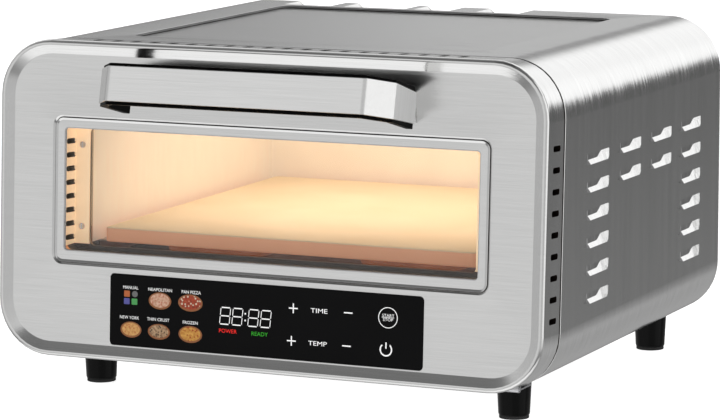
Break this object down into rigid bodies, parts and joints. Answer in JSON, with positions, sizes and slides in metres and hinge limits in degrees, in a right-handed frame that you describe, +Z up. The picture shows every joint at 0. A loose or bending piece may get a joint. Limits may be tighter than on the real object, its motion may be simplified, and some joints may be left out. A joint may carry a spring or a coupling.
{
  "type": "countertop pizza oven",
  "caption": "Electric countertop pizza oven with a leaning drop-down glass door, touch controls in the door, a bow handle, a heated stone cavity and louvred steel sides.",
  "frame": {"origin": "under the middle of the oven's outer box, on the table", "axes": "+X to the right as seen from the front, -Y towards the person in front of the door, +Z up"},
  "size_m": [0.4872, 0.475, 0.2918],
  "materials": {
    "brushed_stainless": "brushed, horizontal grain on the front and upright grain on the sides",
    "aluminised_steel": "plain mill finish",
    "zinc_plated_steel": "bright zinc",
    "heater_sheath": "dark oxidised sheath",
    "cordierite_stone": "matte, fine grain",
    "fibre_blanket": "matte fibre",
    "woven_fibre_seal": "woven, matte",
    "white_ceramic": "unglazed",
    "clear_glass": "clear",
    "lamp_glass": "clear, lit from inside",
    "black_glass": "polished black with printed marks",
    "black_gloss_plastic": "glossy",
    "black_matte_plastic": "matte",
    "black_rubber": "matte",
    "green_laminate": "satin",
    "display_white": "matte",
    "motor_steel": "plain"
  },
  "bodies": {
    "housing": {"outer_wrap": "brushed_stainless", "base_plate": "aluminised_steel", "rear_panel": "aluminised_steel", "front_frame": "aluminised_steel", "cavity_liner": "aluminised_steel", "cavity_supports": "aluminised_steel", "stone_rail_left": "aluminised_steel", "stone_rail_right": "aluminised_steel", "heater_clips": "aluminised_steel", "hinge_leaf_left": "zinc_plated_steel", "hinge_leaf_right": "zinc_plated_steel", "hinge_pin_left": "zinc_plated_steel", "hinge_pin_right": "zinc_plated_steel", "foot_screws": "zinc_plated_steel", "rear_screws": "zinc_plated_steel", "frame_screws": "zinc_plated_steel", "temperature_probe": "zinc_plated_steel", "upper_heater": "heater_sheath", "lower_heater": "heater_sheath", "pizza_stone": "cordierite_stone", "cavity_insulation": "fibre_blanket", "door_seal": "woven_fibre_seal", "heater_bushes": "white_ceramic", "lamp_socket": "white_ceramic", "lamp_lens": "clear_glass", "lamp_bulb": "lamp_glass", "front_left_foot": "black_gloss_plastic", "front_right_foot": "black_gloss_plastic", "rear_left_foot": "black_gloss_plastic", "rear_right_foot": "black_gloss_plastic", "cord_gland": "black_matte_plastic", "terminal_block": "black_matte_plastic", "fan_housing": "black_matte_plastic", "reed_switch": "black_matte_plastic", "board_standoffs": "black_matte_plastic", "board_components": "black_matte_plastic", "foot_pads": "black_rubber", "power_board": "green_laminate", "fan_motor": "motor_steel", "thermal_cutout": "motor_steel"},
    "door": {"door_shell": "brushed_stainless", "outer_glass": "clear_glass", "window_channel": "aluminised_steel", "retainer_screws": "zinc_plated_steel", "inner_glass": "clear_glass", "door_inner_panel": "aluminised_steel", "control_glass": "black_glass", "touch_board": "green_laminate", "display_module": "display_white", "control_housing": "aluminised_steel", "door_magnet": "motor_steel", "handle_core": "black_gloss_plastic", "handle_strip": "brushed_stainless", "handle_screws": "zinc_plated_steel", "door_leaf_left": "zinc_plated_steel", "door_leaf_right": "zinc_plated_steel"},
    "fan": {"fan_rotor": "black_matte_plastic"}
  },
  "joints": [
    {"name": "door_hinge", "type": "hinge", "parent": "housing", "child": "door", "pos_m": [0, -0.15424, 0.03234], "axis": [1, 0, 0], "range_deg": [0, 68]},
    {"name": "fan_spin", "type": "hinge", "parent": "housing", "child": "fan", "pos_m": [0.118, 0.21832, 0.074], "axis": [0, 1, 0], "continuous": true}
  ]
}
